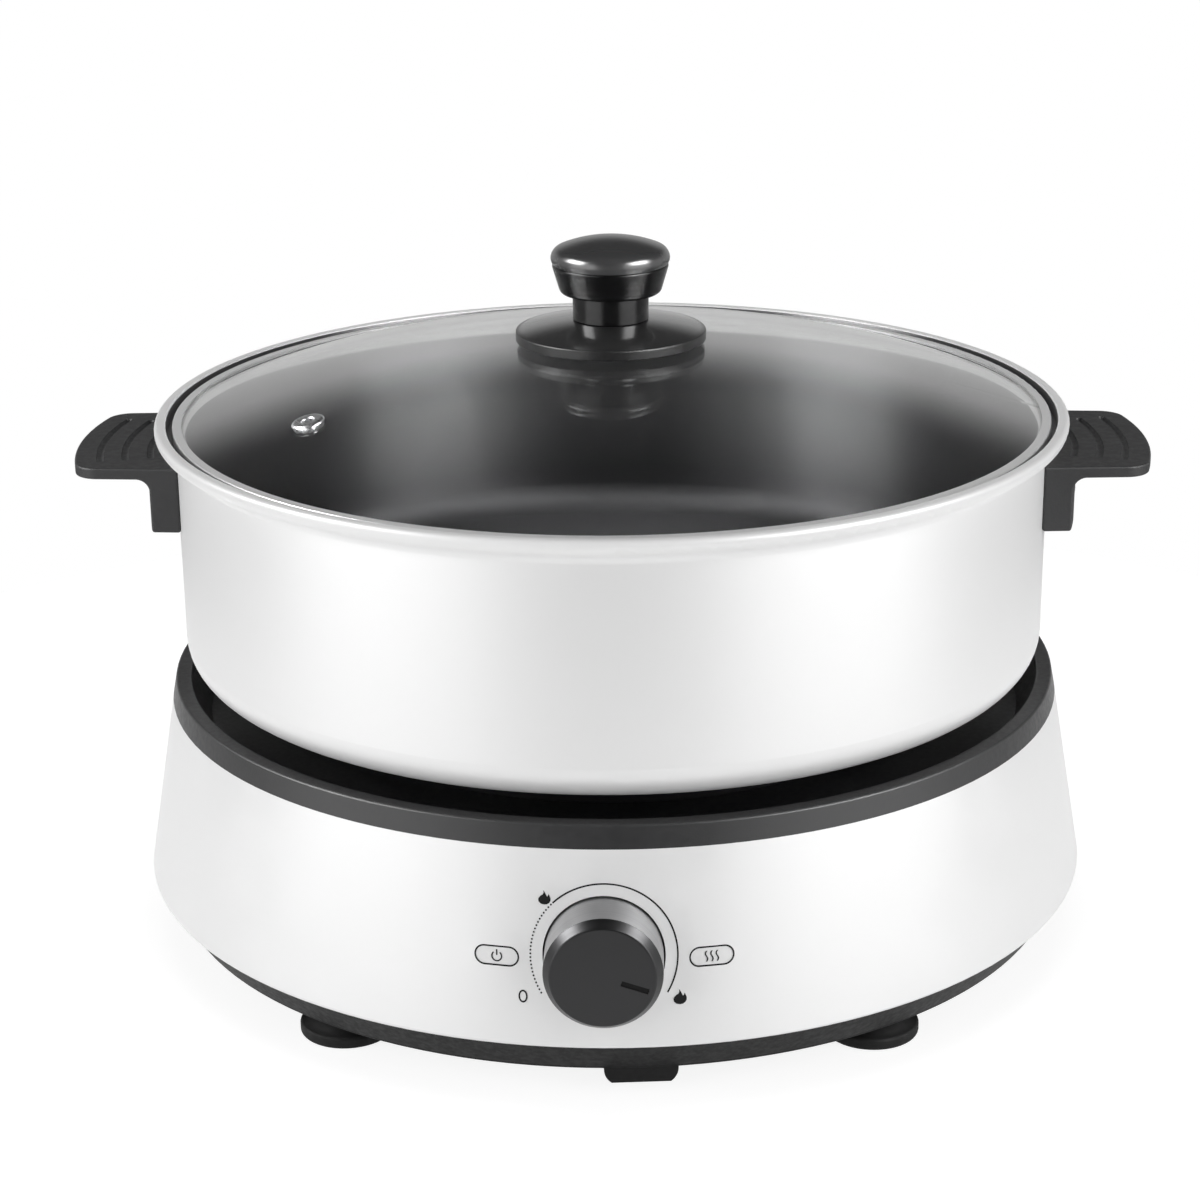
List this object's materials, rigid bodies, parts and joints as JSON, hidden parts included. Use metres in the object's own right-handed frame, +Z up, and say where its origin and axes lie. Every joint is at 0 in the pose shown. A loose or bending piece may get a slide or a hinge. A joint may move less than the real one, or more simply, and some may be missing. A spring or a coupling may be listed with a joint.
{
  "type": "electric hot pot",
  "caption": "Countertop electric hot pot: tapered round heating base with a turning control knob, lift-off pot with two grooved handles and a lift-off domed glass lid.",
  "frame": {"origin": "on the pot's vertical axis, on the surface that the feet stand on", "axes": "+Z up; the control knob faces -Y, the power inlet faces +Y and the handles point along -X and +X"},
  "size_m": [0.3786, 0.357, 0.2468],
  "materials": {
    "housing": "satin",
    "black_moulding": "satin",
    "handle": "satin",
    "gloss_black": "gloss",
    "knob": "satin",
    "pot": "satin",
    "plate": "satin",
    "element": "satin",
    "steel": "satin",
    "bright_steel": "polished",
    "screws": "satin",
    "brass": "satin",
    "glass": "polished",
    "lens": "gloss",
    "lamp": "gloss",
    "rubber": "matte",
    "silicone": "matte",
    "phenolic": "matte",
    "nylon": "matte"
  },
  "bodies": {
    "base": {"base_housing": "housing", "top_ring": "black_moulding", "bottom_pan": "black_moulding", "rubber_feet": "rubber", "foot_screws": "screws", "pan_screws": "screws", "hot_plate": "plate", "heating_element": "element", "heat_shield": "steel", "plate_posts": "steel", "plate_screws": "screws", "shield_screws": "screws", "probe_sleeve": "steel", "probe_spring": "steel", "knob_well": "black_moulding", "heat_regulator": "phenolic", "regulator_bracket": "steel", "bush_nut": "brass", "power_lens": "lens", "heating_lens": "lens", "lamp_holders": "nylon", "indicator_lamps": "lamp", "power_inlet": "black_moulding", "inlet_blades": "brass", "inlet_screws": "screws", "terminal_block": "nylon", "thermal_cutout": "steel"},
    "probe": {"probe_cap": "plate", "probe_sensor": "element"},
    "knob": {"control_knob": "knob", "knob_pointer": "gloss_black", "knob_spindle": "steel"},
    "pot": {"pot_shell": "pot", "right_handle": "handle", "left_handle": "handle", "handle_brackets": "steel", "handle_screws": "screws"},
    "lid": {"lid_rim": "bright_steel", "glass_lid": "glass", "vent_eyelet": "bright_steel", "knob_flange": "gloss_black", "neck_ring": "bright_steel", "lid_knob": "gloss_black", "knob_cap": "gloss_black", "knob_insert": "brass", "lid_gasket": "silicone", "lid_washer": "steel", "lid_screw": "screws"}
  },
  "joints": [
    {"name": "pot_lift", "type": "slide", "parent": "base", "child": "pot", "axis": [0, 0, 1], "range_m": [0, 0.12]},
    {"name": "lid_lift", "type": "slide", "parent": "pot", "child": "lid", "axis": [0, 0, 1], "range_m": [0, 0.15]},
    {"name": "heat_control", "type": "hinge", "parent": "base", "child": "knob", "pos_m": [0, -0.165, 0.052], "axis": [0, -1, 0], "range_deg": [-12, 226]},
    {"name": "probe_press", "type": "slide", "parent": "base", "child": "probe", "axis": [0, 0, 1], "range_m": [-0.003, 0], "stiffness_N_per_m": 400, "springref_m": 0.003, "deforming": ["probe_spring"]}
  ]
}
